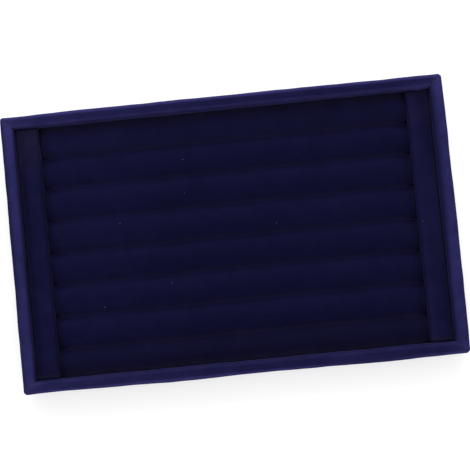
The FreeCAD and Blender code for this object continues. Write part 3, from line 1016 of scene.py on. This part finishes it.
# felt under the tray: a rounded rectangle cut a little unevenly, glued to the board
felt = {
    "length": 345 * mm, "width": 215 * mm, "cornerRadius": 4 * mm, "thickness": 0.6 * mm,
    "arcSteps": 6, "runStep": 3 * mm, "rings": 36,
    "crowding": 0.8,  # power that brings the rings closer together near the edge
    "cutWander": 0.22 * mm,
    "cutWaves": ((9, 0.5), (23, 0.4), (61, 0.3)),  # waves round the outline, and their heights
    "cutSeed": 2.3,
    "cutFall": 6,  # power with which the wander dies away inwards
}


# rings of the felt: its outline x a share, with the cut edge's wander, never
# outwards, on the outermost ones
def makeFelt():
    f = felt
    x, y = f["length"] / 2, f["width"] / 2
    corners = [(0, -y), (-x, -y), (-x, y), (x, y), (x, -y), (0, -y)]
    radii = [0] + [f["cornerRadius"]] * 4 + [0]
    outline = roundedPath(corners, radii, f["arcSteps"], f["runStep"])[:-1]
    reach = np.linalg.norm(np.diff(np.concatenate([outline, outline[:1]]), axis=0), axis=1).cumsum()
    share = np.linspace(0, 1, f["rings"])[1:, None] ** f["crowding"]
    waves = [(reach[-1] / count, height) for count, height in f["cutWaves"]]
    wave = wander(reach, f["cutSeed"], waves) - 1.0
    outwards = outline / np.linalg.norm(outline, axis=1, keepdims=True)
    cut = wave[None] * share ** f["cutFall"] * f["cutWander"]
    flat = outline[None] * share[..., None] + outwards[None] * cut[..., None]
    rings = np.concatenate([flat, np.zeros((*flat.shape[:2], 1))], -1)
    vertices = np.concatenate([np.zeros((1, 3)), rings.reshape(-1, 3)])
    around = len(outline)
    column = np.arange(around)
    fan = np.stack([0 * column, 1 + column, 1 + (column + 1) % around], -1)
    faces = gridFaces(len(share), around, True, 1)[:, ::-1].tolist() + fan.tolist()
    piece = meshObject("baseFelt", vertices, faces)
    piece.data.materials.append(feltFinish)
    thicken(piece, f["thickness"])
    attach(piece, "tray_shell")
    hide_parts("base_felt")
    print("base felt laid")


makeFelt()

# boards that keep their CAD solids
boardFinishes = {
    "front_rail": fibreboard, "back_rail": fibreboard, "left_rail": fibreboard, "right_rail": fibreboard,
    "left_bar_core": fibreboard, "right_bar_core": fibreboard, "base_board": hardboard,
    "insert_card": greyboard,
}
for label, finish in boardFinishes.items():
    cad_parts[label].data.materials.clear()
    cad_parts[label].data.materials.append(finish)
print("board materials set on the CAD nodes")

# stage: a pale floor that reaches past the picture's edge from low down too
floor = {"reach": 12.0, "grey": (0.66, 0.66, 0.66), "glow": 0.54}


# floor: a diffuse grey + a glow that only rays from the picture see, so that it
# shows white and keeps the shadow
def makeFloor():
    corners = np.array([(-1, -1, 0), (1, -1, 0), (1, 1, 0), (-1, 1, 0)]) * floor["reach"]
    piece = meshObject("floor", corners, [[0, 1, 2, 3]])
    material = bpy.data.materials.new("paleFloor")
    material.use_nodes = True
    tree = material.node_tree
    tree.nodes.clear()
    rays = addNode(tree, "ShaderNodeLightPath").outputs
    seen = mathNode(tree, "ADD", rays["Is Camera Ray"], rays["Is Glossy Ray"])
    seen = mathNode(tree, "ADD", seen, rays["Is Transmission Ray"])
    strength = mathNode(tree, "MULTIPLY", seen, floor["glow"])
    glow = addNode(tree, "ShaderNodeEmission", {"Color": (1, 1, 1), "Strength": strength})
    shade = addNode(tree, "ShaderNodeBsdfDiffuse", {"Color": floor["grey"]})
    both = addNode(tree, "ShaderNodeAddShader", {0: shade.outputs[0], 1: glow.outputs[0]})
    addNode(tree, "ShaderNodeOutputMaterial", {"Surface": both.outputs[0]})
    piece.data.materials.append(material)


makeFloor()

# light: an even room, and one broad soft light from beyond the back of the tray
light = {"room": 0.80, "place": (0.1, 1.1, 0.9), "target": (0, 0, 0), "width": 0.9, "power": 9.5}
world = bpy.data.worlds.new("evenRoom")
scene.world = world
world.use_nodes = True
feed(world.node_tree.nodes["Background"], {"Color": (1, 1, 1), "Strength": light["room"]})
lamp = bpy.data.lights.new("windowLight", "AREA")
lamp.shape = "SQUARE"
lamp.size = light["width"]
lamp.energy = light["power"]
window = bpy.data.objects.new("windowLight", lamp)
scene.collection.objects.link(window)
window.location = light["place"]
aim = Vector(light["target"]) - Vector(light["place"])
window.rotation_euler = aim.to_track_quat("-Z", "Y").to_euler()

# camera: nearly straight above, turned so that the tray lies as in the photograph
view = {
    "place": (20.57 * mm, -46.66 * mm, 967.66 * mm), "turnDegrees": (2.6629, 1.4107, -5.5545),
    "lens": 91.915, "sensor": 36.0,
}
camera = bpy.data.objects.new("camera", bpy.data.cameras.new("camera"))
scene.collection.objects.link(camera)
camera.location = view["place"]
camera.rotation_euler = [math.radians(angle) for angle in view["turnDegrees"]]
camera.data.lens = view["lens"]
camera.data.sensor_width = view["sensor"]
scene.camera = camera
scene.view_settings.view_transform = "Standard"
print("floor, light and camera set")

print("scene ready")
